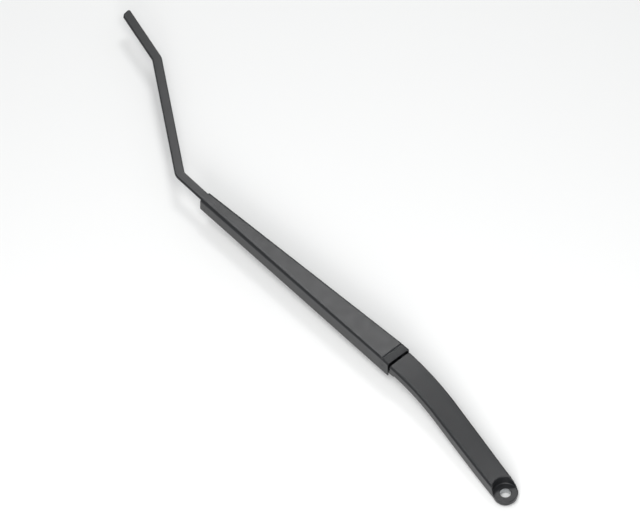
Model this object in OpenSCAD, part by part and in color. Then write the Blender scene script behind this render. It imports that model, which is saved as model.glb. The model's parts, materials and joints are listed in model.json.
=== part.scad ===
// Windscreen wiper arm: a cast head that bolts to the wiper spindle, a pressed channel hinged to
// it, a flat steel bar for the blade, and a tension spring that pulls the channel down.
// The origin is the centre of the nut seat. +Z points along the spindle to the nut, +X out along
// the channel. The arm is drawn at rest on the glass.

/* [Spindle end] */
// Diameter of the plain bore at the nut seat
bore_d = 10; // [8:0.5:10.5]
// Length of the plain bore
bore_len = 3; // [2:0.5:4]
// Diameter of the tapered socket at its mouth
socket_d = 11.6; // [11:0.2:13]
// Diameter of the round nut seat
seat_d = 22; // [20:0.5:24]
// Room round the nut seat, cut into the head's end
seat_clear = 0.2; // [0.1:0.1:0.5]
// Thickness of the disc under the nut seat
seat_t = 4.2; // [3.5:0.1:6]
// Diameter of the collar under the disc
collar_d = 18; // [16:0.5:19]
// Height of the collar under the disc
collar_h = 3; // [2:0.5:4]
// Height of the head's top over the nut seat
head_top = 8.8; // [8:0.1:11]

/* [Head] */
// Angle in plan between the head at the spindle and the channel
head_angle = 11.3; // [8:0.1:14]
// Length of the straight stretch from the spindle
head_straight = 99.2; // [90:0.1:110]
// Plan radius of the curved stretch that leads to the hinge
head_bend_r = 404; // [370:1:440]
// Width of the head at the spindle
head_w_spindle = 21.8; // [21:0.2:23]
// Width of the head at the channel's mouth
head_w_mouth = 25.4; // [23:0.2:25.6]
// Height that the head's top climbs from the spindle to the hinge
head_rise = 7.8; // [5:0.2:9]
// Depth of the head's sides near the spindle
head_h_spindle = 12.6; // [12:0.2:12.6]
// Depth of the head's sides near the channel
head_h_mouth = 8.6; // [8.4:0.2:10.5]
// Radius along the head's top edges
head_edge_r = 2; // [1:0.2:3]
// Wall left round the hollows under the head
head_wall = 2.8; // [2.2:0.1:3.2]
// Number of hollows under the head
hollows = 5; // [3:1:6]
// Thickness of the ribs between the hollows
rib_t = 2.2; // [1.6:0.2:3]

/* [Hinge] */
// Diameter of the hinge pin
pin_d = 5; // [4:0.1:5.2]
// Radial clearance of the hinge pin in its bushes
pin_clear = 0.05; // [0.02:0.01:0.1]
// Wall of the bushes
bush_wall = 0.8; // [0.6:0.1:0.9]
// Diameter of the bush flanges
flange_d = 9; // [8.2:0.1:9.4]
// Thickness of the bush flanges
flange_t = 0.8; // [0.6:0.1:1.2]
// Side clearance between a bush flange and the channel
side_clear = 0.1; // [0.05:0.05:0.3]
// Distance from the pin's centre to the roof's underside
pin_below_roof = 5; // [4.8:0.1:5.6]
// Distance from the channel's mouth to the pin's centre
mouth_to_pin = 8; // [7.5:0.1:9]
// Height of the channel's roof over the head's top
roof_over_head = 3; // [2:0.1:4]
// Angle that the arm lifts from the glass
lift_max = 60; // [40:1:60]
// Gap that the channel's mouth keeps from the head as it swings
swing_gap = 0.35; // [0.3:0.05:0.6]
// Width of the fork in the head's tongue
fork_gap = 8; // [7:0.5:10]

/* [Channel] */
// Length of the channel
channel_len = 252.5; // [240:0.5:270]
// Outer width at the mouth
mouth_w = 26.7; // [26:0.1:28]
// Outer height at the mouth
mouth_h = 16.7; // [16:0.1:18]
// Outer width at the narrow end
tip_w = 12.5; // [12:0.1:14]
// Outer height at the narrow end
tip_h = 13.1; // [11:0.1:14]
// Thickness of the sheet steel
sheet_t = 1.2; // [1:0.1:1.3]
// Outer bend radius of the roof's edges at the mouth
mouth_r = 1.9; // [1.7:0.1:2.4]
// Outer bend radius of the roof's edges at the narrow end
tip_r = 2.7; // [2.6:0.1:3]
// Length of the lip that is pressed down at the mouth
lip_len = 8.5; // [7:0.5:12]
// Drop of the lip at the mouth's edge
lip_drop = 0.8; // [0.3:0.1:0.8]

/* [Bar] */
// Width of the flat bar
bar_w = 9; // [8:0.1:9.2]
// Thickness of the flat bar
bar_t = 3; // [2.5:0.1:4]
// Radius of the bar's long edges
bar_edge = 1.2; // [0.8:0.1:1.2]
// Length of bar inside the channel
bar_insert = 126; // [110:1:130]
// Angle of the slight bend just before the bar leaves the channel
bend_0 = 2.7; // [1:0.1:3.5]
// Distance of the slight bend from the channel's narrow end
bend_0_inset = 4.3; // [3:0.1:8]
// Length of bar from the slight bend to the first bend
bar_reach = 39.2; // [30:0.1:50]
// Angle of the first bend, in plan
bend_1 = 32; // [20:0.1:40]
// Length from bend to bend
bar_mid = 133.6; // [100:0.1:160]
// Angle of the second bend, back towards the channel's line
bend_2 = 19.1; // [10:0.1:30]
// Length from the second bend to the blunt end
bar_end = 59.5; // [40:0.5:80]
// Angle that the blunt end is turned from square, so that it faces along the channel
bar_cut = 20; // [0:1:24]
// Inner radius of the slight bend
bend_0_r = 20; // [10:1:40]
// Inner radius of the first bend
bend_1_r = 5; // [3:0.5:10]
// Inner radius of the second bend
bend_2_r = 2.5; // [2:0.5:8]
// Corner cut at the bar's blunt end
bar_chamfer = 1.4; // [1:0.1:2.4]
// Distance between the two rivets through roof and bar
rivet_pitch = 34; // [20:1:60]
// Distance of the first rivet from the channel's narrow end
rivet_inset = 16; // [10:1:24]
// Diameter of the rivets
rivet_d = 4; // [3:0.1:4.4]
// Height of the rivets' domed feet under the bar
rivet_foot_h = 1.8; // [1:0.1:2.2]

/* [Spring] */
// Distance from the hinge pin to the anchor pin
anchor_r = 7.5; // [7.2:0.1:7.8]
// Diameter of the anchor pin
anchor_d = 2.6; // [2.4:0.1:3]
// Metal left round the anchor pin in the head's tongue
anchor_wall = 1.7; // [1.4:0.1:1.8]
// Thickness of the spring link
link_t = 2.5; // [2:0.1:3]
// Wall of the spring link round its eyes
link_wall = 1.15; // [1:0.05:1.3]
// Play of the anchor pin in the link's rear eye
anchor_play = 0.25; // [0.2:0.05:0.4]
// Distance from the anchor pin to the spring's rear hook
link_len = 16; // [14:0.5:22]
// Wire of the tension spring
wire_d = 1.6; // [1.2:0.1:1.8]
// Outer diameter of the tension spring
spring_d = 8.2; // [7.6:0.1:9]
// Pitch of the stretched coils
spring_pitch = 2.6; // [2.4:0.1:3.4]
// Free play of each hook in its hole
hook_play = 0.3; // [0.2:0.05:0.5]

/* [Hidden] */
$fn = 64;
// Slack of a piece that is pressed into its hole
press_gap = 0.03;
past = 1;
// Where a web's corner sits inside the round that it joins
web_in = 0.93;

// Plan of the head: a straight stretch, then an arc that ends along the channel
hinge_x = head_straight * cos(head_angle) + head_bend_r * sin(head_angle);
hinge_y = -head_straight * sin(head_angle) - head_bend_r * (1 - cos(head_angle));
roof_z = head_top + head_rise + roof_over_head;
hinge_z = roof_z - sheet_t - pin_below_roof;
head_len = head_straight + head_bend_r * head_angle * PI / 180;

// Heights about the hinge pin
roof_out = pin_below_roof + sheet_t;
shoulder_top = roof_out - roof_over_head;
mouth_bottom = roof_out - mouth_h;
tip_bottom = roof_out - tip_h;
channel_end = channel_len - mouth_to_pin;

// The lip's corners swing about the pin and set the room that the head leaves them
lip_swing_r = norm([mouth_to_pin, roof_out - lip_drop]) + swing_gap;
lip_low = rotated([-mouth_to_pin, pin_below_roof - lip_drop], lift_max)[1];
neck_top = lip_low - swing_gap;
neck_bottom = mouth_bottom + 0.3;

bush_r = pin_d / 2 + pin_clear + bush_wall;
knuckle_r = pin_below_roof - 0.3;
tongue_w = 2 * (channel_half(flange_d / 2) - sheet_t - side_clear - flange_t);

// The anchor pin swings evenly to both sides of the point below the hinge pin
anchor_x = anchor_r * sin(lift_max / 2);
anchor_z = -anchor_r * cos(lift_max / 2);
anchor_dip = anchor_r + anchor_z;
link_z = anchor_z - anchor_dip / 2;
eye_r = anchor_d / 2 + anchor_dip / 2 + anchor_play;
link_h = eye_r + link_wall;

// The bar lies under the roof, so its inner end sets the spring's front hook
bar_z = pin_below_roof - bar_t / 2;
bar_inner = channel_end - bar_insert;
wire_r = wire_d / 2;
hook_r = link_t / 2 + wire_r + 0.5;
hook_sag = hook_r - sqrt(hook_r * hook_r - link_t * link_t / 4);
hook_hole_r = wire_r + hook_sag + hook_play;
bar_hole_r = wire_r + hook_play;
bar_hole_x = bar_inner + bar_hole_r + bar_t;
rear_hook_x = anchor_x + link_len;
front_z = bar_z - bar_t / 2 - wire_r - hook_play;
spring_tilt = atan((front_z - link_z) / (bar_hole_x - rear_hook_x));
spring_len = norm([bar_hole_x - rear_hook_x, front_z - link_z]);
coil_r = spring_d / 2 - wire_r;
coil_start = 2 * hook_r + 2;
turns = floor((spring_len - 2 * coil_start) / spring_pitch);
coil_len = turns * spring_pitch;

function mix(a, b, t) = a + (b - a) * t;
function clamp01(t) = min(1, max(0, t));
function smooth(t) = clamp01(t) * clamp01(t) * (3 - 2 * clamp01(t));
function rotated(p, a) = [p[0] * cos(a) - p[1] * sin(a), p[0] * sin(a) + p[1] * cos(a)];
function unit(v) = v / norm(v);
function ahead(p, h, l) = [p[0] + l * cos(h), p[1] + l * sin(h)];
function arc(c, r, a0, a1, n) = [for (i = [0:n]) ahead(c, mix(a0, a1, i / n), r)];

// Half the channel's outer width, its underside and its bend radius at a distance from the pin
function along(x) = (x + mouth_to_pin) / channel_len;
function channel_half(x) = mix(mouth_w, tip_w, along(x)) / 2;
function channel_bottom(x) = mix(mouth_bottom, tip_bottom, along(x));
function channel_r(x) = mix(mouth_r, tip_r, along(x));
function channel_drop(x) = lip_drop * max(0, 1 - (x + mouth_to_pin) / lip_len);

// The head's centreline at arc length s: x, y and heading
function head_turn(s) = max(0, s - head_straight) / head_bend_r * 180 / PI;
function head_x(s) = min(s, head_straight) * cos(head_angle)
    + head_bend_r * (sin(head_angle) - sin(head_angle - head_turn(s)));
function head_y(s) = -min(s, head_straight) * sin(head_angle)
    - head_bend_r * (cos(head_angle - head_turn(s)) - cos(head_angle));
function head_heading(s) = head_turn(s) - head_angle;
function head_half(s) = mix(head_w_spindle, head_w_mouth, s / head_len) / 2;
function head_z(s) = head_top + head_rise * smooth(s / head_len);
function head_h(s) = mix(head_h_spindle, head_h_mouth, smooth(s / head_len));

// A closed skin over a row of equal rings, each ring a list of points
module skin(rings) {
    n = len(rings[0]);
    last = len(rings) - 1;
    polyhedron(
        points = [for (ring = rings) each ring],
        faces = concat(
            [[for (i = [0:n - 1]) i]],
            [[for (i = [n - 1:-1:0]) last * n + i]],
            [for (k = [0:last - 1], i = [0:n - 1], a = k * n, b = a + n, j = (i + 1) % n) [a + i, b + i, b + j]],
            [for (k = [0:last - 1], i = [0:n - 1], a = k * n, b = a + n, j = (i + 1) % n) [a + i, b + j, a + j]]
        )
    );
}

// A flat outline in x and z, as thick as w along y
module plate(w) {
    rotate([90, 0, 0]) linear_extrude(w, center = true) children();
}

// A round bar along y
module cross_pin(r, w) {
    rotate([90, 0, 0]) cylinder(r = r, h = w, center = true);
}

module at_hinge() {
    translate([hinge_x, hinge_y, hinge_z]) children();
}

// A cross-section of the head, in y and z, placed on its centreline
function head_ring(s, section) = let(h = head_heading(s))
    [for (p = section) [head_x(s) - p[0] * sin(h), head_y(s) + p[0] * cos(h), head_z(s) + p[1]]];
function head_section(s) = let(w = head_half(s), h = head_h(s), r = head_edge_r, cut = 0.6)
    concat([[w - cut, -h], [w, cut - h]], arc([w - r, -r], r, 0, 90, 5),
        arc([r - w, -r], r, 90, 180, 5), [[-w, cut - h], [cut - w, -h]]);
// A hollow draws in by its draft towards a chamfered floor
function hollow_section(s) =
    let(w = head_half(s) - head_wall, n = w - 0.5, h = head_h(s), z = -head_wall, cut = 1.5)
    [[w, -h - past], [w, -h], [n, z - cut], [n - cut, z], [cut - n, z], [-n, z - cut], [-w, -h], [-w, -h - past]];

// The keel under the head carries the tongue into the casting, past the last hollow
keel_len = 42;
keel_w = 18;
// The beam's ends lie inside the two cuts, round the seat and round the lip
beam_start = 3;
beam_end = head_len - 6;
seat_block = 6;
hollow_start = seat_d / 2 + seat_block;
hollow_end = head_len - keel_len;
hollow_step = (hollow_end - hollow_start + rib_t) / hollows;

module head_beam() {
    steps = 30;
    skin([for (i = [0:steps]) let(s = mix(beam_start, beam_end, i / steps)) head_ring(s, head_section(s))]);
}

module head_hollow(k) {
    start = hollow_start + k * hollow_step;
    end = start + hollow_step - rib_t;
    steps = 5;
    skin([for (i = [0:steps]) let(s = mix(start, end, i / steps)) head_ring(s, hollow_section(s))]);
}

module head_keel() {
    front = -lip_swing_r - 0.5;
    top = shoulder_top - head_wall;
    root = shoulder_top - head_h_mouth + 1;
    plate(keel_w) polygon([[front, neck_bottom], [front, top], [-keel_len, top - 0.6], [-keel_len, root],
        [front - 10, neck_bottom]]);
}

module head_tongue() {
    boss = anchor_d / 2 + anchor_wall;
    root = -lip_swing_r - 3;
    difference() {
        union() {
            cross_pin(knuckle_r, tongue_w);
            translate([anchor_x, 0, anchor_z]) cross_pin(boss, tongue_w);
            plate(tongue_w) polygon([[root, neck_bottom], [root, neck_top], [-knuckle_r - 0.6, neck_top],
                web_in * knuckle_r * [-cos(24), -sin(24)], web_in * knuckle_r * [cos(8), sin(8)],
                [anchor_x + web_in * boss, anchor_z], [anchor_x + 0.3 * boss, neck_bottom]]);
        }
        cross_pin(bush_r + press_gap, 2 * tongue_w);
        translate([anchor_x, 0, anchor_z]) cross_pin(anchor_d / 2 + press_gap, 2 * tongue_w);
    }
}

module arm_head() {
    reach = 40;
    fork_root = anchor_x - link_h - 0.8;
    color([0.12, 0.12, 0.13]) difference() {
        union() {
            difference() {
                head_beam();
                cylinder(d = seat_d + 2 * seat_clear, h = reach);
                at_hinge() cross_pin(lip_swing_r, reach);
                at_hinge() translate([-mouth_to_pin - swing_gap, -reach / 2, -reach]) cube(reach);
                for (k = [0:hollows - 1]) head_hollow(k);
            }
            translate([0, 0, -seat_t]) cylinder(d = seat_d, h = seat_t);
            translate([0, 0, -seat_t - collar_h]) cylinder(d = collar_d, h = collar_h + past);
            at_hinge() head_keel();
            at_hinge() head_tongue();
        }
        translate([0, 0, -bore_len - past]) cylinder(d = bore_d, h = bore_len + 2 * past);
        translate([0, 0, -seat_t - collar_h - past / 2])
            cylinder(d1 = socket_d, d2 = bore_d + 0.4, h = seat_t + collar_h - bore_len + past / 2);
        at_hinge() translate([fork_root, -fork_gap / 2, -reach / 2]) cube([reach, fork_gap, reach]);
        at_hinge() translate([-knuckle_r - 1, -fork_gap / 2, neck_top]) cube([reach, fork_gap, reach]);
    }
}

module hinge_bush(side) {
    depth = tongue_w / 2 - fork_gap / 2;
    color([0.85, 0.83, 0.76]) at_hinge() rotate([-90 * side, 0, 0]) difference() {
        union() {
            translate([0, 0, fork_gap / 2]) cylinder(r = bush_r, h = depth);
            translate([0, 0, tongue_w / 2]) cylinder(d = flange_d, h = flange_t);
        }
        cylinder(r = pin_d / 2 + pin_clear, h = tongue_w);
    }
}

module hinge_bush_left() { hinge_bush(1); }
module hinge_bush_right() { hinge_bush(-1); }

module anchor_pin() {
    color([0.72, 0.73, 0.75]) at_hinge() translate([anchor_x, 0, anchor_z]) cross_pin(anchor_d / 2, tongue_w);
}

// The channel's sheet, an outer and an inner path that close into one ring
function channel_path(x, inset) = let(w = channel_half(x) - inset, r = channel_r(x) - inset,
        top = roof_out - inset - channel_drop(x), low = channel_bottom(x), n = 6)
    concat([[w, low]], arc([w - r, top - r], r, 0, 90, n), arc([r - w, top - r], r, 90, 180, n), [[-w, low]]);

module channel_sheet() {
    xs = [-mouth_to_pin, lip_len - mouth_to_pin, channel_end * 0.35, channel_end * 0.7, channel_end];
    n = len(channel_path(0, 0));
    last = len(xs) - 1;
    size = 2 * n;
    rings = [for (x = xs) [for (p = concat(channel_path(x, 0), channel_path(x, sheet_t))) [x, p[0], p[1]]]];
    // Each skin runs from wall foot to wall foot, and strips close the feet and both ends
    polyhedron(
        points = [for (ring = rings) each ring],
        faces = concat(
            [for (k = [0:last - 1], i = [0:n - 2], h = [0, 1]) h == 0
                ? [k * size + i, (k + 1) * size + i, (k + 1) * size + i + 1]
                : [k * size + i, (k + 1) * size + i + 1, k * size + i + 1]],
            [for (k = [0:last - 1], i = [0:n - 2], h = [0, 1]) h == 0
                ? [k * size + n + i, (k + 1) * size + n + i + 1, (k + 1) * size + n + i]
                : [k * size + n + i, k * size + n + i + 1, (k + 1) * size + n + i + 1]],
            [for (k = [0:last - 1], h = [0, 1]) h == 0
                ? [k * size, k * size + n, (k + 1) * size + n]
                : [k * size, (k + 1) * size + n, (k + 1) * size]],
            [for (k = [0:last - 1], h = [0, 1]) h == 0
                ? [k * size + n - 1, (k + 1) * size + 2 * n - 1, k * size + 2 * n - 1]
                : [k * size + n - 1, (k + 1) * size + n - 1, (k + 1) * size + 2 * n - 1]],
            [for (i = [0:n - 2], h = [0, 1]) h == 0
                ? [i, i + 1, n + i + 1]
                : [i, n + i + 1, n + i]],
            [for (i = [0:n - 2], h = [0, 1], b = last * size) h == 0
                ? [b + i, b + n + i + 1, b + i + 1]
                : [b + i, b + n + i, b + n + i + 1]]
        )
    );
}

// Pin and rivets end a little under the sheet, in countersinks of 45 degrees
sunk = 0.05;
pin_head_t = 0.8;
pin_head_r = pin_d / 2 + pin_head_t;
pin_face = channel_half(pin_head_r) - sunk;

module channel() {
    color([0.1, 0.1, 0.11]) at_hinge() difference() {
        channel_sheet();
        cross_pin(pin_d / 2 + press_gap, 2 * mouth_w);
        for (side = [-1, 1]) rotate([-90 * side, 0, 0]) translate([0, 0, pin_face - pin_head_t])
            cylinder(r1 = pin_d / 2 + press_gap, r2 = pin_head_r + pin_head_t + press_gap, h = 2 * pin_head_t);
        for (x = rivet_xs) translate([x, 0, 0]) rivet_hole();
    }
}

module hinge_pin() {
    color([0.1, 0.1, 0.11]) at_hinge() union() {
        cross_pin(pin_d / 2, 2 * pin_face - pin_head_t);
        for (side = [-1, 1]) rotate([-90 * side, 0, 0]) translate([0, 0, pin_face - pin_head_t])
            cylinder(r1 = pin_d / 2, r2 = pin_head_r, h = pin_head_t);
    }
}

rivet_xs = [channel_end - rivet_inset - rivet_pitch, channel_end - rivet_inset];
rivet_head_t = 0.9;
rivet_head_r = rivet_d / 2 + rivet_head_t;
rivet_foot_r = rivet_d;
rivet_dome_r = (rivet_foot_r * rivet_foot_r + rivet_foot_h * rivet_foot_h) / (2 * rivet_foot_h);

module rivet_hole() {
    cylinder(d = rivet_d + 2 * press_gap, h = roof_out + past);
    translate([0, 0, roof_out - rivet_head_t])
        cylinder(r1 = rivet_d / 2 + press_gap, r2 = rivet_head_r + press_gap + past, h = rivet_head_t + past);
}

// A countersunk rivet, flush with the roof and domed under the bar
module bar_rivet(x) {
    foot = bar_z - bar_t / 2;
    color([0.1, 0.1, 0.11]) at_hinge() translate([x, 0, 0]) union() {
        translate([0, 0, foot]) cylinder(d = rivet_d, h = roof_out - foot - rivet_head_t / 2);
        translate([0, 0, roof_out - rivet_head_t])
            cylinder(r1 = rivet_d / 2, r2 = rivet_head_r - sunk, h = rivet_head_t - sunk);
        translate([0, 0, foot]) rotate_extrude() intersection() {
            translate([0, rivet_dome_r - rivet_foot_h]) circle(r = rivet_dome_r);
            translate([0, -rivet_foot_h]) square([rivet_foot_r, rivet_foot_h]);
        }
    }
}

module bar_rivet_inner() { bar_rivet(rivet_xs[0]); }
module bar_rivet_outer() { bar_rivet(rivet_xs[1]); }

// The bar's section, flat with rounded long edges
bar_section = let(w = bar_w / 2 - bar_edge, h = bar_t / 2 - bar_edge, n = 3)
    concat(arc([w, h], bar_edge, 0, 90, n), arc([-w, h], bar_edge, 90, 180, n),
        arc([-w, -h], bar_edge, 180, 270, n), arc([w, -h], bar_edge, 270, 360, n));

// Headings of the four stretches, and the middles of the three bends
headings = [0, -bend_0, -bend_0 - bend_1, bend_2 - bend_0 - bend_1];
corner_0 = [bar_insert - bend_0_inset, 0];
corner_1 = ahead(corner_0, headings[1], bar_reach);
corner_2 = ahead(corner_1, headings[2], bar_mid);
bar_tip = ahead(corner_2, headings[3], bar_end);
// A bend between two headings, each point of the bar's centreline with its heading
function bar_bend(corner, inner, h0, h1, n) = let(r = inner + bar_w / 2, side = h1 > h0 ? 90 : -90,
    centre = ahead(ahead(corner, h0, -r * tan(abs(h1 - h0) / 2)), h0 + side, r))
    [for (i = [0:n]) let(h = mix(h0, h1, i / n)) concat(ahead(centre, h - side, r), h)];
// The bar's section at a point, its long edges led on or back by a slope across the bar
function bar_ring(c, slope) =
    [for (p = bar_section) concat(ahead(ahead(c, c[2] + 90, p[0]), c[2], -p[0] * slope), p[1])];

module arm_bar() {
    tip = concat(bar_tip, headings[3]);
    line = concat([[0, 0, 0]],
        bar_bend(corner_0, bend_0_r, headings[0], headings[1], 3),
        bar_bend(corner_1, bend_1_r, headings[1], headings[2], 8),
        bar_bend(corner_2, bend_2_r, headings[2], headings[3], 6));
    chamfer = bar_chamfer * sqrt(2);
    color([0.1, 0.1, 0.11]) at_hinge() translate([bar_inner, 0, bar_z]) difference() {
        skin(concat([for (c = line) bar_ring(c, 0)], [bar_ring(tip, tan(bar_cut))]));
        for (side = [-0.5, 0.5]) translate([tip[0], tip[1], 0]) rotate([0, 0, tip[2]])
            translate([-side * bar_w * tan(bar_cut), side * bar_w, 0]) rotate([0, 0, 45 + bar_cut / 2])
            cube([chamfer, chamfer, 2 * bar_t], center = true);
        translate([bar_hole_x - bar_inner, 0, -bar_t]) cylinder(r = bar_hole_r, h = 2 * bar_t);
        for (x = rivet_xs) translate([x - bar_inner, 0, -bar_t])
            cylinder(d = rivet_d + 2 * press_gap, h = 2 * bar_t);
    }
}

// The link between the anchor pin and the spring, a flat steel plate with an eye at each end
module spring_link() {
    front_r = hook_hole_r + link_wall;
    color([0.62, 0.63, 0.66]) at_hinge() translate([anchor_x, 0, link_z]) difference() {
        union() {
            translate([anchor_play, 0, 0]) cross_pin(link_h, link_t);
            translate([link_len, 0, 0]) cross_pin(front_r, link_t);
            plate(link_t) polygon([[0, web_in * link_h], [link_h, 0.75 * link_h], [link_len, web_in * front_r],
                [link_len, -web_in * front_r], [link_h, -0.75 * link_h], [0, -web_in * link_h]]);
        }
        translate([anchor_play, 0, 0]) cross_pin(eye_r, 2 * link_t);
        translate([link_len, 0, 0]) cross_pin(hook_hole_r, 2 * link_t);
    }
}

// The spring's path from the rear hook's free end, through the coils, to the end in the bar
function spring_path() =
    let(per = 12, n = turns * per, join = 6, rise = 3.5, end = coil_start + coil_len, bend = wire_d)
    concat(
        [[2 * hook_r + 1, -hook_r * 0.9, 0]],
        [for (i = [0:8]) concat([hook_r, 0] + ahead([0, 0], -90 - 180 * i / 8, hook_r), 0)],
        [for (i = [1:join - 1], t = i / join) [mix(hook_r, coil_start, t), mix(hook_r, coil_r, smooth(t)), 0]],
        [for (i = [0:n]) concat(coil_start + spring_pitch * i / per, ahead([0, 0], 360 * i / per, coil_r))],
        [for (i = [1:join], t = i / join) [end + rise * t, coil_r * (1 - smooth(t)), 0]],
        [[spring_len - 1.5 * bend, 0, 0]],
        [for (i = [1:4], a = 22.5 * i) [spring_len - bend + bend * sin(a), 0, bend - bend * cos(a)]],
        [[spring_len, 0, wire_r + hook_play + bar_t * 0.8]]
    );

// A round wire along a path, its rings carried on without twist
module wire(path, r, sides) {
    last = len(path) - 1;
    dirs = [for (i = [0:last]) unit(path[min(last, i + 1)] - path[max(0, i - 1)])];
    sideways = [for (i = 0, v = unit(cross(dirs[0], [0, 0, 1])); i <= last;
        i = i + 1, v = i > last ? v : unit(v - dirs[i] * (v * dirs[i]))) v];
    skin([for (i = [0:last]) let(a = sideways[i], b = cross(dirs[i], a))
        [for (k = [0:sides - 1]) path[i] + r * (a * cos(-360 * k / sides) + b * sin(-360 * k / sides))]]);
}

module tension_spring() {
    color([0.45, 0.46, 0.48]) at_hinge() translate([rear_hook_x, 0, link_z]) rotate([0, -spring_tilt, 0])
        wire(spring_path(), wire_r, 6);
}

arm_head();
hinge_bush_left();
hinge_bush_right();
anchor_pin();
channel();
hinge_pin();
arm_bar();
bar_rivet_inner();
bar_rivet_outer();
spring_link();
tension_spring();
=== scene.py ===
import json
from math import asin, atan2, ceil, cos, degrees, pi, radians, sin, sqrt, tan

import bmesh
import bpy
from mathutils import Matrix, Vector


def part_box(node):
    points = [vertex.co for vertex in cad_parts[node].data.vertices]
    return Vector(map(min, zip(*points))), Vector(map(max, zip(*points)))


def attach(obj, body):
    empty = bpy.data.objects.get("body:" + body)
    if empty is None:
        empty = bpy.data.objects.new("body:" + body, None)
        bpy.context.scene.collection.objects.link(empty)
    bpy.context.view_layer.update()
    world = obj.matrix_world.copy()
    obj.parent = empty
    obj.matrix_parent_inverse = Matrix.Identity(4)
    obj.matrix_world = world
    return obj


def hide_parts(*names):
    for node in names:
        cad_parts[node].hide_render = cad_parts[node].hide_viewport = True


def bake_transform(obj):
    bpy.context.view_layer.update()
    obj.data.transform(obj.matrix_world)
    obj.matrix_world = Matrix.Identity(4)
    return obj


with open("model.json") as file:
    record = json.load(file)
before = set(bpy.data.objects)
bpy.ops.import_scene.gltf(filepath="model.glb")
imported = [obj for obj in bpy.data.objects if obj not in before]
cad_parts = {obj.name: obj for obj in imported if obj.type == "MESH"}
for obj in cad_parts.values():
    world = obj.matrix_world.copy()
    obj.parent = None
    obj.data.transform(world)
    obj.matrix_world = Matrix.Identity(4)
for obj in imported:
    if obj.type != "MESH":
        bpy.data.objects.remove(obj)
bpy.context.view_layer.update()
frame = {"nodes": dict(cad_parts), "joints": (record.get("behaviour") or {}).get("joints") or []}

mm = 0.001
scene = bpy.context.scene
hinge = Vector(frame["joints"][0]["pos_m"])


def hexColour(code):  # sRGB hex to the linear colour that the shaders take
    channels = [int(code[i:i + 2], 16) / 255 for i in (1, 3, 5)]
    return tuple(c / 12.92 if c <= 0.04045 else ((c + 0.055) / 1.055) ** 2.4 for c in channels) + (1.0,)


def addNode(tree, kind, settings=None, links=None):  # settings go to a property or an input, links to inputs
    node = tree.nodes.new(kind)
    for key, value in (settings or {}).items():
        if isinstance(key, str) and hasattr(node, key):
            setattr(node, key, value)
        else:
            node.inputs[key].default_value = value
    for key, source in (links or {}).items():
        tree.links.new(source, node.inputs[key])
    return node


def newMaterial(name, colour, metallic, roughness, extra=None):
    material = bpy.data.materials.new(name)
    material.use_nodes = True
    tree = material.node_tree
    tree.nodes.clear()
    settings = {"Base Color": hexColour(colour), "Metallic": metallic, "Roughness": roughness}
    shader = addNode(tree, "ShaderNodeBsdfPrincipled", {**settings, **(extra or {})})
    addNode(tree, "ShaderNodeOutputMaterial", links={"Surface": shader.outputs["BSDF"]})
    place = addNode(tree, "ShaderNodeTexCoord").outputs["Object"]
    return material, tree, shader, place


def grain(tree, place, sizeMm, detail=2.0):  # noise whose lumps are about sizeMm across
    return addNode(tree, "ShaderNodeTexNoise", {"Scale": 1 / (sizeMm * mm), "Detail": detail},
                   {"Vector": place}).outputs["Fac"]


def varied(tree, source, low, high):  # spreads a noise, most of which lies from 0.3 to 0.7, over a range
    return addNode(tree, "ShaderNodeMapRange", {"From Min": 0.3, "From Max": 0.7, "To Min": low, "To Max": high},
                   {"Value": source}).outputs["Result"]


def bumped(tree, shader, height, depthMm):
    bump = addNode(tree, "ShaderNodeBump", {"Strength": 1.0, "Distance": depthMm * mm}, {"Height": height})
    tree.links.new(bump.outputs["Normal"], shader.inputs["Normal"])


def faded(tree, source, stopMm, fadeMm):  # 1 up to the stop, then down to 0 across the fade
    return addNode(tree, "ShaderNodeMapRange", {"From Min": (stopMm + fadeMm) * mm, "From Max": stopMm * mm},
                   {"Value": source}).outputs["Result"]


def toned(tree, low, high, factor):  # a colour between two: inputs 6 and 7 of the mix are its colours
    return addNode(tree, "ShaderNodeMix", {"data_type": "RGBA", 6: hexColour(low), 7: hexColour(high)},
                   {0: factor}).outputs[2]


coatBlack = "#18191b"


# Satin black polyester powder coat on steel, sprayed and baked: an even dark grey black with a soft,
# wide gloss and the faint ripple of orange peel. Real peel is about 1 mm, drawn at 2.5 mm to show.
def makeSheetCoat():
    material, tree, shader, place = newMaterial("satinPowderCoat", coatBlack, metallic=0.0, roughness=0.36,
                                                extra={"IOR": 1.5})
    gloss = varied(tree, grain(tree, place, sizeMm=9.0), low=0.34, high=0.37)
    tree.links.new(gloss, shader.inputs["Roughness"])
    bumped(tree, shader, grain(tree, place, sizeMm=2.5), depthMm=0.018)
    return material


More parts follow.
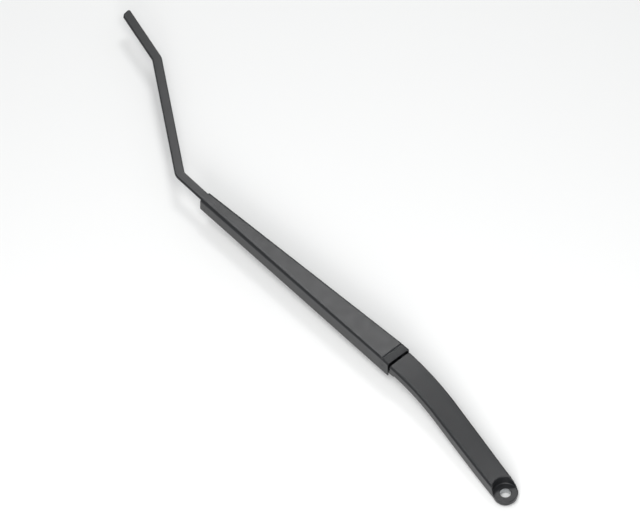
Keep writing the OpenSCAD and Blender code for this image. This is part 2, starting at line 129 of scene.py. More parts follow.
# The same coat on a die-cast aluminium head: the casting's skin gives it a slightly rougher face. Inside
# the spindle hole the metal stays bare and turned, so it is masked by its distance from the axis.
def makeCastCoat():
    bore = {"paintStopMm": 5.95, "topMm": -0.25, "fadeMm": 0.12, "metal": "#b4b6b8", "roughness": 0.32}
    material, tree, shader, place = newMaterial("castHeadPowderCoat", coatBlack, metallic=0.0, roughness=0.4,
                                                extra={"IOR": 1.5})
    parts = addNode(tree, "ShaderNodeSeparateXYZ", links={"Vector": place}).outputs
    flat = addNode(tree, "ShaderNodeCombineXYZ", links={"X": parts["X"], "Y": parts["Y"]}).outputs["Vector"]
    radius = addNode(tree, "ShaderNodeVectorMath", {"operation": "LENGTH"}, {0: flat}).outputs["Value"]
    inside = faded(tree, radius, bore["paintStopMm"], bore["fadeMm"])
    below = faded(tree, parts["Z"], bore["topMm"], bore["fadeMm"])
    bare = addNode(tree, "ShaderNodeMath", {"operation": "MULTIPLY"}, {0: inside, 1: below}).outputs["Value"]
    coatRoughness = varied(tree, grain(tree, place, sizeMm=9.0), low=0.37, high=0.4)
    roughness = addNode(tree, "ShaderNodeMix", {"data_type": "FLOAT", 3: bore["roughness"]},
                        {0: bare, 2: coatRoughness}).outputs[0]
    tree.links.new(toned(tree, coatBlack, bore["metal"], bare), shader.inputs["Base Color"])
    tree.links.new(bare, shader.inputs["Metallic"])
    tree.links.new(roughness, shader.inputs["Roughness"])
    bumped(tree, shader, grain(tree, place, sizeMm=1.8, detail=3.0), depthMm=0.03)
    return material


# Natural polyamide 6, injection moulded: warm translucent white with a dull face.
def makeNylon():
    material, tree, shader, place = newMaterial("naturalNylon", "#d9d3c0", metallic=0.0, roughness=0.45, extra={
        "IOR": 1.53, "Subsurface Weight": 0.15, "Subsurface Scale": 1.5 * mm})
    gloss = varied(tree, grain(tree, place, sizeMm=2.0), low=0.4, high=0.52)
    tree.links.new(gloss, shader.inputs["Roughness"])
    bumped(tree, shader, grain(tree, place, sizeMm=0.6), depthMm=0.01)
    return material


# Steel with clear zinc plating, barrel plated: a bluish silver, mottled by tumbling.
def makeZinc():
    material, tree, shader, place = newMaterial("clearZincPlate", "#bcc1c6", metallic=1.0, roughness=0.34)
    mottle = grain(tree, place, sizeMm=1.6, detail=3.0)
    tree.links.new(toned(tree, "#a9afb5", "#c9cdd0", mottle), shader.inputs["Base Color"])
    tree.links.new(varied(tree, mottle, low=0.27, high=0.42), shader.inputs["Roughness"])
    bumped(tree, shader, grain(tree, place, sizeMm=0.9), depthMm=0.01)
    return material


# Oil-tempered spring wire, cold drawn: dark steel with fine streaks and a film of oil.
def makeSpringSteel():
    material, tree, shader, place = newMaterial("oilTemperedWire", "#6d6a66", metallic=1.0, roughness=0.4)
    streaks = grain(tree, place, sizeMm=1.2, detail=4.0)
    tree.links.new(toned(tree, "#55524e", "#827e79", streaks), shader.inputs["Base Color"])
    tree.links.new(varied(tree, streaks, low=0.3, high=0.48), shader.inputs["Roughness"])
    return material


coat = {"sheet": makeSheetCoat(), "cast": makeCastCoat(), "nylon": makeNylon(), "zinc": makeZinc(),
        "wire": makeSpringSteel()}
print("materials made:", len(coat))


def newPiece(name, mesh, material):
    piece = bpy.data.objects.new(name, mesh)
    scene.collection.objects.link(piece)
    mesh.materials.clear()
    mesh.materials.append(material)
    return piece


def meshFrom(name, points, faces):
    mesh = bpy.data.meshes.new(name)
    mesh.from_pydata([tuple(p) for p in points], [], faces)
    mesh.validate()
    return mesh


def applied(piece):  # the modifiers' result becomes the piece's own mesh
    evaluated = piece.evaluated_get(bpy.context.evaluated_depsgraph_get())
    mesh = bpy.data.meshes.new_from_object(evaluated)
    old = piece.data
    piece.modifiers.clear()
    piece.data = mesh
    bpy.data.meshes.remove(old)


def mended(piece, action):  # runs an edit on the piece's mesh
    bm = bmesh.new()
    bm.from_mesh(piece.data)
    action(bm)
    bm.to_mesh(piece.data)
    bm.free()


def outwardFaces(piece):
    mended(piece, lambda bm: bmesh.ops.recalc_face_normals(bm, faces=bm.faces))


def weightedNormals(piece):  # wide flats stay flat beside their rounded edges
    flatter = piece.modifiers.new("flatFaces", "WEIGHTED_NORMAL")
    flatter.keep_sharp = True
    applied(piece)


def smoothFaces(piece, sharpAngle=38, weighted=True):
    def markSharp(bm):
        for face in bm.faces:
            face.smooth = True
        for edge in bm.edges:
            edge.smooth = edge.is_manifold and edge.calc_face_angle(0) < radians(sharpAngle)

    old = piece.data.attributes.get("custom_normal")  # left by a cut
    if old:
        piece.data.attributes.remove(old)
    mended(piece, markSharp)
    if weighted:
        weightedNormals(piece)


def roundedEdges(piece, widthMm, angle=50):
    bevel = piece.modifiers.new("softEdges", "BEVEL")
    bevel.width = widthMm * mm
    bevel.segments = 2
    bevel.limit_method = "ANGLE"
    bevel.angle_limit = radians(angle)
    return bevel


def settle(piece, node, body):
    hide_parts(node)
    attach(piece, body)


# Rings of equal length joined into a closed skin, both ends capped
def skinFaces(ringCount, ringSize):
    last = (ringCount - 1) * ringSize
    sides = [(k * ringSize + i, k * ringSize + (i + 1) % ringSize, (k + 1) * ringSize + (i + 1) % ringSize,
              (k + 1) * ringSize + i) for k in range(ringCount - 1) for i in range(ringSize)]
    return sides + [tuple(reversed(range(ringSize))), tuple(range(last, last + ringSize))]


def arcPoints(centre, radius, start, end, steps):
    turn = [radians(start + (end - start) * i / steps) for i in range(steps + 1)]
    return [(centre[0] + radius * cos(a), centre[1] + radius * sin(a)) for a in turn]


# A turned piece: its outline is (radius, distance along the axis), from one end to the other
def lathe(name, outline, origin, axis, material, steps=64):
    turned = Vector((0, 0, 1)).rotation_difference(Vector(axis)).to_matrix()
    closed = outline[0] == outline[-1]
    rim = outline[:-1] if closed else outline
    points, faces, rows = [], [], len(rim)
    for radius, along in rim:
        for i in range(steps):
            a = 2 * pi * i / steps
            points.append(Vector(origin) + turned @ Vector((radius * cos(a), radius * sin(a), along)) * mm)
    for k in range(rows if closed else rows - 1):
        for i in range(steps):
            j, below = (i + 1) % steps, (k + 1) % rows
            faces.append((k * steps + i, k * steps + j, below * steps + j, below * steps + i))
    if not closed:
        faces += [tuple(reversed(range(steps))), tuple(range((rows - 1) * steps, rows * steps))]
    piece = newPiece(name, meshFrom(name, points, faces), material)
    outwardFaces(piece)
    smoothFaces(piece)
    return piece


def cutter(name, outline, origin, axis):  # a turned tool, which cutAway removes after its use
    return lathe(name, outline, origin, axis, coat["sheet"], steps=48)


def cutAway(piece, cutters):
    for tool in cutters:
        cut = piece.modifiers.new("cut", "BOOLEAN")
        cut.operation = "DIFFERENCE"
        cut.solver = "EXACT"
        cut.object = tool
    applied(piece)
    for tool in cutters:
        bpy.data.objects.remove(tool)


# The cast head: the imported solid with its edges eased, the recess over the nut seat drafted as a casting
# needs it, and a low wall that runs down beside the seat on the right, as it is drawn. Up to the seam it
# is a fine remeshed skin. Beyond it the flat faces stay and their crisp edges get a bevel. Lengths are in
# mm and outlines in the head's own axes, which lie turned by the angle from those of the frame.
headShape = {
    "angle": -11.3, "flatTurn": 0.6, "ease": 0.3, "easeFrom": 34, "sharpAngle": 40,
    "seam": 14.0, "pastSeam": 2.5, "nearSeam": 0.01, "nearCap": 0.002, "mergeWithin": 0.004,
    "voxel": 0.23, "easeFactor": 0.5, "easeRounds": 11, "cutReach": 20,
    "recess": ((11.2, 0.02), (11.3, 1.0), (11.75, 8.8), (12.1, 14.0)),
    "leftEnd": ((-14, 0.02), (3.6, 0.02), (6.8, 8.8), (8.6, 14), (-14, 14)),
    "rightEnd": ((-14, 0.02), (4.2, 0.02), (4.2, 4.9), (7.6, 7.8), (9.0, 14), (-14, 14)),
    "wallTop": ((-14, -0.4), (-1.5, -0.4), (7.2, 7.45), (9.0, 14), (-14, 14)),
    "wallPlan": ((8.6, -9.6), (8.6, -10.8), (6.2, -11.15), (4.4, -11.65), (2.6, -12.0), (0.8, -12.15),
                 (-1.0, -12.0), (-2.8, -11.6), (-4.4, -10.95), (-5.8, -10.05), (-7.0, -8.8), (-5.4, -8.2),
                 (-1.0, -9.7), (4.0, -9.3)),
    "wallRounds": 2, "wallFoot": -3.7, "wallHead": 7.6}


def headTurn(way=1):  # from the head's own axes to those of the frame, or back with -1
    return Matrix.Rotation(radians(way * headShape["angle"]), 3, "Z")


# A straight-sided solid from an outline in two of the head's axes, "xz" or "xy", between two values of
# the third
def headPrism(name, outline, axes, start, end):
    turned = headTurn()
    points = []
    for third in (start, end):
        for a, b in outline:
            points.append(turned @ Vector((a, third, b) if axes == "xz" else (a, b, third)) * mm)
    piece = newPiece(name, meshFrom(name, points, skinFaces(2, len(outline))), coat["cast"])
    outwardFaces(piece)
    return piece


def joined(piece, other):
    union = piece.modifiers.new("joined", "BOOLEAN")
    union.operation = "UNION"
    union.solver = "EXACT"
    union.object = other
    applied(piece)
    bpy.data.objects.remove(other)


def headAlong(place):  # mm along the head's own straight axis from the spindle
    return (headTurn(-1) @ place).x / mm


def atSeam(element, tolerance):
    return all(abs(headAlong(vert.co) - headShape["seam"]) < tolerance for vert in element.verts)


def sliced(piece, along, keepBeyond, capped=True):  # cuts the head straight across
    normal = headTurn() @ Vector((1, 0, 0))

    def crossCut(bm):
        bmesh.ops.bisect_plane(bm, geom=bm.verts[:] + bm.edges[:] + bm.faces[:], plane_co=normal * along * mm,
                               plane_no=normal, clear_inner=keepBeyond, clear_outer=not keepBeyond)
        if capped:
            bmesh.ops.edgeloop_fill(bm, edges=[edge for edge in bm.edges if edge.is_boundary])

    mended(piece, crossCut)


def headCopy(name):
    piece = newPiece(name, frame["nodes"]["arm_head"].data.copy(), coat["cast"])
    within = headShape["mergeWithin"] * mm
    mended(piece, lambda bm: bmesh.ops.remove_doubles(bm, verts=bm.verts, dist=within))
    return piece


def rounded(outline, rounds):  # cuts the corners of a closed outline again and again
    for _ in range(rounds):
        pairs = list(zip(outline, outline[1:] + outline[:1]))
        outline = [tuple(a[k] * (1 - t) + b[k] * t for k in (0, 1)) for a, b in pairs for t in (0.25, 0.75)]
    return outline


def seatRecess():
    return cutter("recess", headShape["recess"], (0, 0, 0), (0, 0, 1))


def makeSeatEnd():
    s, reach = headShape, headShape["cutReach"]
    piece = headCopy("headCasting")
    plan = rounded(list(s["wallPlan"]), s["wallRounds"])
    wall = headPrism("seatWall", plan, "xy", s["wallFoot"], s["wallHead"])
    cutAway(wall, [headPrism("wallTop", s["wallTop"], "xz", -reach, 0), seatRecess()])
    cutAway(piece, [seatRecess(), headPrism("leftEnd", s["leftEnd"], "xz", 0, reach),
                    headPrism("rightEnd", s["rightEnd"], "xz", -reach, 0)])
    joined(piece, wall)
    sliced(piece, s["seam"] + s["pastSeam"], keepBeyond=False)
    turned = headTurn().to_4x4()
    piece.data.transform(turned.inverted())  # the voxels then lie along the head's sides
    remesh = piece.modifiers.new("castSkin", "REMESH")
    remesh.mode = "VOXEL"
    remesh.voxel_size = s["voxel"] * mm
    ease = piece.modifiers.new("easedEdges", "SMOOTH")
    ease.factor = s["easeFactor"]
    ease.iterations = s["easeRounds"]
    applied(piece)
    piece.data.transform(turned)
    piece.data.shade_smooth()
    sliced(piece, s["seam"], keepBeyond=False, capped=False)
    return piece


def makeHead():
    s = headShape
    seatEnd = makeSeatEnd()
    piece = headCopy("headBeam")
    sliced(piece, s["seam"], keepBeyond=True)

    def markEdges(bm):
        bmesh.ops.dissolve_limit(bm, angle_limit=radians(s["flatTurn"]), use_dissolve_boundaries=False,
                                 verts=bm.verts, edges=bm.edges, delimit=set())
        weight = bm.edges.layers.float.new("bevel_weight_edge")
        for edge in bm.edges:
            crisp = edge.is_manifold and edge.calc_face_angle(0) > radians(s["easeFrom"])
            edge[weight] = 1.0 if crisp and not atSeam(edge, s["nearSeam"]) else 0.0

    mended(piece, markEdges)
    bevel = roundedEdges(piece, s["ease"])
    bevel.limit_method = "WEIGHT"
    bevel.use_clamp_overlap = False
    applied(piece)
    smoothFaces(piece, s["sharpAngle"], weighted=False)

    def weld(bm):  # a narrow ring joins the two rims into one closed skin
        caps = [face for face in bm.faces if atSeam(face, s["nearCap"])]
        bmesh.ops.delete(bm, geom=caps, context="FACES_ONLY")
        bm.from_mesh(seatEnd.data)
        rims = [edge for edge in bm.edges if edge.is_boundary]
        ring = bmesh.ops.bridge_loops(bm, edges=rims)["faces"]
        for edge in rims:
            edge.smooth = False
        left = sum(edge.is_boundary for edge in bm.edges)
        print("weld:", len(rims), "rim edges,", len(ring), "faces,", left, "open")

    mended(piece, weld)
    bpy.data.objects.remove(seatEnd)
    weightedNormals(piece)
    piece.data.materials.clear()  # the cutters brought slots of their own
    piece.data.materials.append(coat["cast"])
    print("head faces:", len(piece.data.polygons))
    settle(piece, "arm_head", "head")


makeHead()
print("head made")

# The pressed channel, open below. Its roof turns down to a lip at the mouth, along a coined line that
# keeps the bend sharp. The outer rows of the walls and columns of the roof are narrow strips beside the
# bends, which keep the flats evenly shaded.
channelShape = {
    "tipWidth": 12.5, "tipHeight": 13.1, "sheet": 1.2, "mouthBend": 1.9, "tipBend": 2.7, "bendSteps": 10,
    "lipLength": 8.5, "lipDrop": 0.8, "crease": 0.35, "coinDepth": 0.45, "coinWidth": 0.8, "edge": 0.25,
    "wallRows": (0, 0.04, 0.35, 0.65, 0.96), "roofColumns": (0.95, 0.55, 0.18, -0.18, -0.55, -0.95),
    "coinRows": (-1.6, -1, -0.5, 0, 0.5, 1, 1.6), "spans": 24,
    "pinRadius": 2.5, "pinHead": 3.3, "pinHeadDepth": 0.8, "rivetRadius": 2.0, "rivetHead": 2.9,
    "rivetHeadDepth": 0.9, "slack": 0.04, "cutReach": 3.0, "mergeWithin": 0.01, "sharpAngle": 32}


def channelSection(x, inset):  # y and z up one side, over the roof and down the other, x mm from the mouth
    s, low, high = channelShape, *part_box("channel")
    length, mouthHalf = (high.x - low.x) / mm, (high.y - low.y) / mm / 2
    t = x / length
    half = mouthHalf + (s["tipWidth"] / 2 - mouthHalf) * t - inset
    bend = s["mouthBend"] + (s["tipBend"] - s["mouthBend"]) * t - inset
    slope = s["lipDrop"] / s["lipLength"]
    past = max(-s["crease"], min(s["crease"], x - s["lipLength"]))
    if x < s["lipLength"] - s["crease"]:
        ramp = slope * (s["lipLength"] - x)
    else:  # the crease is a short arc, not a corner
        ramp = slope * (s["crease"] - past) ** 2 / 4 / s["crease"]
    coin = 0 if inset else s["coinDepth"] * max(0, 1 - abs(x - s["lipLength"]) / s["coinWidth"])
    roof, mouthFoot = high.z / mm, low.z / mm
    top = roof - inset - max(0, ramp) - coin
    foot = mouthFoot + (roof - s["tipHeight"] - mouthFoot) * t
    wall = [(half, foot + (top - bend - foot) * k) for k in s["wallRows"]]
    side = wall + arcPoints((half - bend, top - bend), bend, 0, 90, s["bendSteps"])
    flat = [((half - bend) * k, top) for k in s["roofColumns"]]
    return side + flat + [(-y, z) for y, z in reversed(side)]


def countersink(radius, head, depth, reach):  # outline of a hole that widens to its head at 0
    return [(radius, -reach), (radius, -depth), (head, 0), (head, reach)]


def makeChannel():
    s, low, high = channelShape, *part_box("channel")
    spans, slack, reach = s["spans"], s["slack"], s["cutReach"]
    length = (high.x - low.x) / mm
    midY = (low.y + high.y) / 2
    near = [s["lipLength"] + s["coinWidth"] * k for k in s["coinRows"]]
    rest = [near[-1] + (length - near[-1]) * k / spans for k in range(1, spans + 1)]
    stations = [0, s["lipLength"] / 2] + near + rest
    points, faces = [], []
    for x in stations:
        ring = channelSection(x, 0) + list(reversed(channelSection(x, s["sheet"])))
        points += [Vector((low.x + x * mm, midY + y * mm, z * mm)) for y, z in ring]
    size = len(ring)
    half = size // 2
    for k in range(len(stations) - 1):
        for i in range(size):
            j = (i + 1) % size
            faces.append((k * size + i, (k + 1) * size + i, (k + 1) * size + j, k * size + j))
    for k, outward in ((0, True), (len(stations) - 1, False)):
        for i in range(half - 1):
            quad = [k * size + i, k * size + i + 1, k * size + size - 2 - i, k * size + size - 1 - i]
            faces.append(tuple(quad if outward else reversed(quad)))
    piece = newPiece("channelPressing", meshFrom("channelPressing", points, faces), coat["sheet"])
    roundedEdges(piece, s["edge"])
    applied(piece)
    tools = []
    pinHole = countersink(s["pinRadius"] + slack, s["pinHead"] + slack, s["pinHeadDepth"], reach)
    face = channelSection(hinge.x / mm - low.x / mm, 0)[0][0]
    for side in (1, -1):
        tools.append(cutter("pinHole", pinHole, (hinge.x, midY + side * face * mm, hinge.z), (0, side, 0)))
    rivetHole = countersink(s["rivetRadius"] + slack, s["rivetHead"] + slack, s["rivetHeadDepth"], reach)
    for node in ("bar_rivet_inner", "bar_rivet_outer"):
        a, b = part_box(node)
        tools.append(cutter("rivetHole", rivetHole, ((a.x + b.x) / 2, (a.y + b.y) / 2, high.z), (0, 0, 1)))
    cutAway(piece, tools)

    def tidyCuts(bm):  # the cuts leave long faces with holes, which shade badly
        within = s["mergeWithin"] * mm
        bmesh.ops.remove_doubles(bm, verts=bm.verts, dist=within)
        bmesh.ops.dissolve_degenerate(bm, dist=within, edges=bm.edges)
        bmesh.ops.triangulate(bm, faces=[face for face in bm.faces if len(face.verts) > 4], ngon_method="BEAUTY")

    mended(piece, tidyCuts)
    smoothFaces(piece, s["sharpAngle"])
    settle(piece, "channel", "arm")


makeChannel()
print("channel made")

# The flat bar: rolled edges, bends on the flat and a blunt end, cut askew, with its corners cut off
barShape = {
    "width": 9.0, "edge": 1.2, "edgeSteps": 5, "runs": (121.7, 39.2, 133.6, 59.5), "turns": (-2.7, -32.0, 19.1),
    "innerRadii": (20.0, 5.0, 2.5), "fewestSteps": 6, "stepAngle": 3, "endTurn": 20.0, "corner": 1.4,
    "burr": 0.25, "burrFrom": 60, "hookHole": 1.1, "hookHoleInset": 4.1, "cutReach": 5.0, "sharpAngle": 35}


def ahead(place, heading, length):
    return place + length * Vector((cos(radians(heading)), sin(radians(heading))))


def barLine():  # in mm: x, y, heading, and the two sides as (across, along)
    s = barShape
    wide = s["width"] / 2
    sides = ((wide, 0.0), (-wide, 0.0))
    line, place, heading = [(0.0, 0.0, 0.0, *sides)], Vector((0.0, 0.0)), 0.0
    for run, turn, inner in zip(s["runs"], s["turns"], s["innerRadii"]):
        radius = inner + wide
        corner = ahead(place, heading, run)
        side = 1 if turn > 0 else -1
        centre = ahead(ahead(corner, heading, -radius * tan(radians(abs(turn) / 2))), heading + 90 * side, radius)
        steps = max(s["fewestSteps"], ceil(abs(turn) / s["stepAngle"]))
        for i in range(steps + 1):
            bent = heading + turn * i / steps
            x, y = ahead(centre, bent - 90 * side, radius)
            line.append((x, y, bent, *sides))
        place, heading = corner, heading + turn
    tip = ahead(place, heading, s["runs"][-1])
    askew, offset = radians(s["endTurn"]), wide * tan(radians(s["endTurn"]))
    left = s["corner"] / sqrt(2) / cos(radians(90 + s["endTurn"]) / 2)
    right = s["corner"] / sqrt(2) / cos(radians(90 - s["endTurn"]) / 2)
    line.append((*tip, heading, (wide, -offset - left), (-wide, offset - right)))
    line.append((*tip, heading, (wide - left * cos(askew), left * sin(askew) - offset),
                 (right * cos(askew) - wide, offset - right * sin(askew))))
    return line


def makeBar():
    s, low, high = barShape, *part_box("arm_bar")
    thick, middle = (high.z - low.z) / mm, (low.z + high.z) / 2
    line = barLine()
    rings, points = len(line), []
    for x, y, heading, left, right in line:
        width = left[0] - right[0]
        half, tall = width / 2 - s["edge"], thick / 2 - s["edge"]
        section = []
        for cy, cz, start in ((half, tall, 0), (-half, tall, 90), (-half, -tall, 180), (half, -tall, 270)):
            section += arcPoints((cy, cz), s["edge"], start, start + 90, s["edgeSteps"])
        for across, up in section:
            along = right[1] + (left[1] - right[1]) * (across / width + 0.5)
            flat = ahead(ahead(Vector((x, y)), heading, along), heading + 90, across + (left[0] + right[0]) / 2)
            points.append(Vector((low.x / mm + flat.x, hinge.y / mm + flat.y, middle / mm + up)) * mm)
    piece = newPiece("flatBar", meshFrom("flatBar", points, skinFaces(rings, len(section))), coat["sheet"])
    roundedEdges(piece, s["burr"], s["burrFrom"])
    applied(piece)
    hole = [(s["hookHole"], -s["cutReach"]), (s["hookHole"], s["cutReach"])]
    place = (low.x + s["hookHoleInset"] * mm, hinge.y, middle)
    cutAway(piece, [cutter("hookHole", hole, place, (0, 0, 1))])
    smoothFaces(piece, s["sharpAngle"])
    settle(piece, "arm_bar", "arm")


makeBar()
print("bar made")

# Turned and pressed pins, bushes and rivets. A cap is the small flat in the middle of an end.
pinShape = {"radius": 2.5, "head": 3.3, "headDepth": 0.8, "chamfer": 0.12, "cap": 0.4,
            "anchorRadius": 1.3, "anchorChamfer": 0.25, "anchorCap": 0.3}
bushShape = {"bore": 2.55, "wall": 0.8, "flangeRadius": 4.5, "flange": 0.8, "fillet": 0.2}
rivetShape = {"radius": 2.0, "head": 2.9, "headDepth": 0.9, "domeRadius": 3.95, "dome": 1.8,
              "domeAngles": (6, 91, 7), "chamfer": 0.05, "cap": 0.4}


def mirrored(end):  # the outline of a pin with two equal ends
    return end + [(r, -along) for r, along in reversed(end)]


def makePins():
    s = pinShape
    low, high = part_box("hinge_pin")
    half, middle = (high.y - low.y) / mm / 2, (low + high) / 2
    end = [(s["cap"], -half), (s["head"] - s["chamfer"], -half), (s["head"], s["chamfer"] - half),
           (s["radius"], s["headDepth"] - half)]
    pin = lathe("hingePin", mirrored(end), middle, (0, 1, 0), coat["sheet"])
    settle(pin, "hinge_pin", "arm")
    low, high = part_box("anchor_pin")
    half, middle = (high.y - low.y) / mm / 2, (low + high) / 2
    end = [(s["anchorCap"], -half), (s["anchorRadius"] - s["anchorChamfer"], -half),
           (s["anchorRadius"], s["anchorChamfer"] - half)]
    pin = lathe("anchorPin", mirrored(end), middle, (0, 1, 0), coat["zinc"], steps=40)
    settle(pin, "anchor_pin", "head")


def makeBushes():
    s = bushShape
    for node, name, side in (("hinge_bush_left", "bushLeft", 1), ("hinge_bush_right", "bushRight", -1)):
        low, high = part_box(node)
        inner, outer = sorted((abs(low.y - hinge.y) / mm, abs(high.y - hinge.y) / mm))
        bore, flange, fillet = s["bore"], s["flangeRadius"], s["fillet"]
        body, shoulder = bore + s["wall"], outer - s["flange"]
        outline = [(bore, inner + fillet), (bore + fillet, inner), (body - fillet, inner), (body, inner + fillet),
                   (body, shoulder), (flange - fillet, shoulder), (flange, shoulder + fillet),
                   (flange, outer - fillet), (flange - fillet, outer), (bore + fillet, outer),
                   (bore, outer - fillet), (bore, inner + fillet)]
        settle(lathe(name, outline, hinge, (0, side, 0), coat["nylon"]), node, "head")


def makeRivets():
    s = rivetShape
    for node, name in (("bar_rivet_inner", "rivetInner"), ("bar_rivet_outer", "rivetOuter")):
        low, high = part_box(node)
        foot = Vector(((low.x + high.x) / 2, (low.y + high.y) / 2, low.z))
        tall = (high.z - low.z) / mm
        turns = [radians(a) for a in range(*s["domeAngles"])]
        dome = [(s["domeRadius"] * sin(a), s["dome"] * (1 - cos(a))) for a in turns]
        outline = dome + [(s["radius"], s["dome"]), (s["radius"], tall - s["headDepth"]),
                          (s["head"], tall - s["chamfer"]), (s["head"] - s["chamfer"], tall), (s["cap"], tall)]
        settle(lathe(name, outline, foot, (0, 0, 1), coat["sheet"], steps=48), node, "arm")


makePins()
makeBushes()
makeRivets()
print("pins, bushes and rivets made")

# The spring link, stamped from 2.5 mm strip: two eyes and a straight body
linkShape = {"rearRadius": 3.2, "frontRadius": 2.58, "rearHole": 2.05, "frontHole": 1.43, "thick": 2.5,
             "edge": 0.2, "rearPlay": 0.25, "span": 16.0, "eyeSteps": 24, "sharpAngle": 50}


def circlePoints(radius):  # every 10 degrees, without the first point again
    return arcPoints((0, 0), radius, 0, 350, 35)


def closedSpline(curve, centre, points):
    spline = curve.splines.new("POLY")
    spline.points.add(len(points) - 1)
    for point, (x, y) in zip(spline.points, points):
        point.co = ((centre[0] + x) * mm, (centre[1] + y) * mm, 0, 1)
    spline.use_cyclic_u = True


def makeLink():
    s = linkShape
    low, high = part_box("spring_link")
    rear = Vector((low.x + s["rearRadius"] * mm, hinge.y, (low.z + high.z) / 2))
    span = s["span"] - s["rearPlay"]
    lean = degrees(asin((s["rearRadius"] - s["frontRadius"]) / span))  # where the common tangents touch
    curve = bpy.data.curves.new("springLink", "CURVE")
    curve.dimensions = "2D"
    curve.fill_mode = "BOTH"
    curve.extrude = (s["thick"] / 2 - s["edge"]) * mm
    curve.bevel_depth = s["edge"] * mm
    curve.bevel_resolution = 1
    inset = s["edge"]
    outer = arcPoints((0, 0), s["rearRadius"] - inset, 90 - lean, 270 + lean, s["eyeSteps"])
    outer += arcPoints((span, 0), s["frontRadius"] - inset, lean - 90, 90 - lean, s["eyeSteps"])
    closedSpline(curve, (0, 0), outer)
    closedSpline(curve, (0, 0), circlePoints(s["rearHole"] + inset))
    closedSpline(curve, (span, 0), circlePoints(s["frontHole"] + inset))
    flat = bpy.data.objects.new("linkCurve", curve)
    scene.collection.objects.link(flat)
    mesh = bpy.data.meshes.new_from_object(flat.evaluated_get(bpy.context.evaluated_depsgraph_get()))
    bpy.data.objects.remove(flat)
    mesh.transform(Matrix.Translation(rear) @ Matrix.Rotation(radians(90), 4, "X"))
    piece = newPiece("springLink", mesh, coat["zinc"])
    smoothFaces(piece, s["sharpAngle"])
    settle(piece, "spring_link", "link")


makeLink()
print("link made")

# The tension spring: cold-wound wire with a hook round the link's eye and a bent end through the bar
springShape = {
    "wire": 1.6, "outer": 8.2, "sides": 12, "hook": 2.55, "hookAngles": (-40, -271, -8), "joinSteps": 16,
    "coilStart": 7.1, "pitch": 2.6, "turns": 34, "perTurn": 24, "endRise": 3.5, "riseSteps": 10,
    "bend": 1.6, "bendAngles": (15, 91, 15), "legSteps": 4, "underBar": 0.3, "belowTop": 0.4,
    "softRounds": 4}


def springLine():  # x runs along the spring's axis from the bottom of the rear hook, in mm
    s = springShape
    hook, radius = s["hook"], s["outer"] / 2 - s["wire"] / 2
    turns = [radians(a) for a in range(*s["hookAngles"])]
    line = [(hook + hook * cos(a), hook * sin(a), 0.0) for a in turns]
    for i in range(1, s["joinSteps"]):
        t = i / s["joinSteps"]
        line.append((hook + (s["coilStart"] - hook) * t, hook + (radius - hook) * t * t * (3 - 2 * t), 0.0))
    count = s["turns"] * s["perTurn"]
    for i in range(count + 1):
        a = 2 * pi * i / s["perTurn"]
        line.append((s["coilStart"] + s["pitch"] * i / s["perTurn"], radius * cos(a), radius * sin(a)))
    coilEnd = s["coilStart"] + s["pitch"] * s["turns"]
    for i in range(1, s["riseSteps"] + 1):
        t = i / s["riseSteps"]
        line.append((coilEnd + s["endRise"] * t, radius * (1 - t * t * (3 - 2 * t)), 0.0))
    return line, coilEnd + s["endRise"]


def softened(line, rounds):
    for _ in range(rounds):
        line = [line[0]] + [tuple((a + 2 * b + c) / 4 for a, b, c in zip(line[k - 1], line[k], line[k + 1]))
                            for k in range(1, len(line) - 1)] + [line[-1]]
    return line


# A tree that turns a path into a round wire with closed ends
def wireTree():
    tree = bpy.data.node_groups.new("wireAlongPath", "GeometryNodeTree")
    face = tree.interface
    face.new_socket("Geometry", in_out="INPUT", socket_type="NodeSocketGeometry")
    face.new_socket("Wire Radius", in_out="INPUT", socket_type="NodeSocketFloat")
    face.new_socket("Sides", in_out="INPUT", socket_type="NodeSocketInt")
    face.new_socket("Finish", in_out="INPUT", socket_type="NodeSocketMaterial")
    face.new_socket("Geometry", in_out="OUTPUT", socket_type="NodeSocketGeometry")
    given = addNode(tree, "NodeGroupInput").outputs
    path = addNode(tree, "GeometryNodeMeshToCurve", links={"Mesh": given["Geometry"]}).outputs["Curve"]
    ring = addNode(tree, "GeometryNodeCurvePrimitiveCircle",
                   links={"Resolution": given["Sides"], "Radius": given["Wire Radius"]}).outputs["Curve"]
    tube = addNode(tree, "GeometryNodeCurveToMesh", {"Fill Caps": True}, {"Curve": path, "Profile Curve": ring})
    smooth = addNode(tree, "GeometryNodeSetShadeSmooth", links={"Geometry": tube.outputs["Mesh"]})
    real = addNode(tree, "GeometryNodeRealizeInstances", links={"Geometry": smooth.outputs["Geometry"]})
    done = addNode(tree, "GeometryNodeSetMaterial",
                   links={"Geometry": real.outputs["Geometry"], "Material": given["Finish"]})
    addNode(tree, "NodeGroupOutput", links={"Geometry": done.outputs["Geometry"]})
    return tree


def treeInput(tree, label):
    sockets = [item for item in tree.interface.items_tree if item.name == label and item.in_out == "INPUT"]
    return sockets[0].identifier


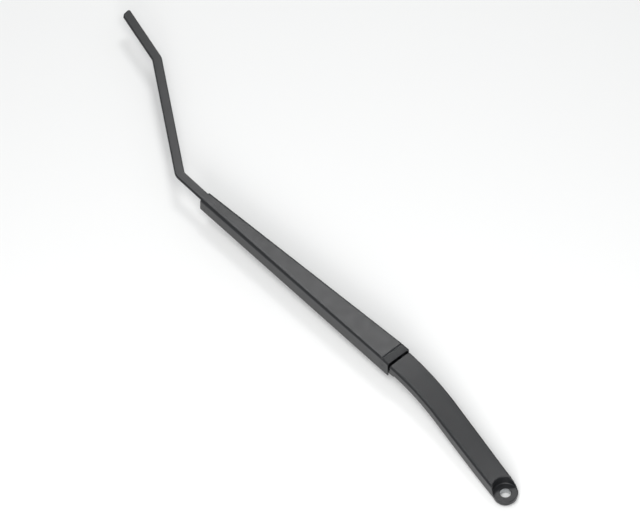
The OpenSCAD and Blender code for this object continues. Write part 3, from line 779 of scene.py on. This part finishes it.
def makeSpring():
    s, bend, steps = springShape, springShape["bend"], springShape["legSteps"]
    linkLow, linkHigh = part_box("spring_link")
    rear = Vector((linkHigh.x - linkShape["frontRadius"] * mm, hinge.y, (linkLow.z + linkHigh.z) / 2))
    barLow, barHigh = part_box("arm_bar")
    under = (s["wire"] / 2 + s["underBar"]) * mm
    front = Vector((barLow.x + barShape["hookHoleInset"] * mm, hinge.y, barLow.z - under))
    line, lineEnd = springLine()
    length = (front - rear).length / mm
    straight, top = length - bend, (barHigh.z - front.z) / mm - s["belowTop"]
    turns = [radians(a) for a in range(*s["bendAngles"])]
    line += [(lineEnd + (straight - lineEnd) * k / steps, 0.0, 0.0) for k in range(1, steps + 1)]
    line += [(straight + bend * sin(a), 0.0, bend - bend * cos(a)) for a in turns]
    line += [(length, 0.0, bend + (top - bend) * k / steps) for k in range(1, steps + 1)]
    line = softened(line, s["softRounds"])
    tilt = Matrix.Rotation(-atan2(front.z - rear.z, front.x - rear.x), 4, "Y")
    points = [rear + tilt @ (Vector(p) * mm) for p in line]
    path = bpy.data.meshes.new("springPath")
    path.from_pydata(points, [(k, k + 1) for k in range(len(points) - 1)], [])
    piece = newPiece("tensionSpring", path, coat["wire"])
    tree = wireTree()
    wire = piece.modifiers.new("wire", "NODES")
    wire.node_group = tree
    wire[treeInput(tree, "Wire Radius")] = s["wire"] / 2 * mm
    wire[treeInput(tree, "Sides")] = s["sides"]
    wire[treeInput(tree, "Finish")] = coat["wire"]
    applied(piece)
    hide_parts("tension_spring")
    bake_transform(piece)


makeSpring()
print("spring made")

# A pale floor under the spindle collar, a wide soft lamp above, one from the side, a small one from behind
# and a grey world. The floor's size and gap are in metres.
stageShape = {"floorSize": 12.0, "floorGap": 0.0002, "floorColour": "#f1f1f0", "floorRoughness": 0.75,
              "worldColour": "#f4f6f8", "worldLevel": 0.48}


def makeStage():
    s = stageShape
    material = newMaterial("paleFloor", s["floorColour"], 0.0, s["floorRoughness"])[0]
    reach, height = s["floorSize"] / 2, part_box("arm_head")[0].z - s["floorGap"]
    corners = [(-reach, -reach, height), (reach, -reach, height), (reach, reach, height), (-reach, reach, height)]
    floor = newPiece("floor", meshFrom("floor", corners, [(0, 1, 2, 3)]), material)
    world = bpy.data.worlds.new("softRoom")
    scene.world = world
    world.use_nodes = True
    background = world.node_tree.nodes["Background"]
    background.inputs["Color"].default_value = hexColour(s["worldColour"])
    background.inputs["Strength"].default_value = s["worldLevel"]


def makeLamp(name, place, target, size, watts):
    lamp = bpy.data.lights.new(name, "AREA")
    lamp.shape = "RECTANGLE"
    lamp.size, lamp.size_y = size
    lamp.energy = watts
    holder = bpy.data.objects.new(name, lamp)
    holder.location = place
    holder.rotation_euler = (Vector(target) - Vector(place)).to_track_quat("-Z", "Y").to_euler()
    scene.collection.objects.link(holder)


def makeCamera():
    view = {"azimuth": 226.44, "elevation": 52.0, "mmPerPixel": 0.9, "spindlePixel": (505.4, 492.9),
            "pictureSize": (640, 516), "distance": 3.0, "clip": (0.1, 20.0)}
    az, el = radians(view["azimuth"]), radians(view["elevation"])
    right = Vector((cos(az), sin(az), 0))
    up = Vector((-sin(az) * sin(el), cos(az) * sin(el), cos(el)))
    back = right.cross(up)
    width, height = view["pictureSize"]
    across = (width / 2 - view["spindlePixel"][0]) * view["mmPerPixel"] * mm
    rise = (view["spindlePixel"][1] - height / 2) * view["mmPerPixel"] * mm
    data = bpy.data.cameras.new("camera")
    camera = bpy.data.objects.new("camera", data)
    data.type = "ORTHO"  # the drawing has no vanishing lines
    data.ortho_scale = width * view["mmPerPixel"] * mm
    data.clip_start, data.clip_end = view["clip"]
    place = Matrix((right, up, back)).transposed().to_4x4()
    place.translation = right * across + up * rise + back * view["distance"]
    camera.matrix_world = place
    scene.collection.objects.link(camera)
    scene.camera = camera


makeStage()
makeLamp("overheadSoftbox", place=(-0.2, 0.5, 1.5), target=(0.3, -0.05, 0), size=(0.9, 0.9), watts=13)
makeLamp("sideSoftbox", place=(-0.9, 1.0, 0.7), target=(0.3, 0, 0), size=(0.9, 0.6), watts=18)
# Its sheen parts lip, roof and head
makeLamp("rearSoftbox", place=(1.0, -0.75, 1.4), target=(0.3, -0.05, 0), size=(0.45, 0.3), watts=4.5)
makeCamera()
scene.view_settings.view_transform = "Standard"
print("stage, lamps and camera made")
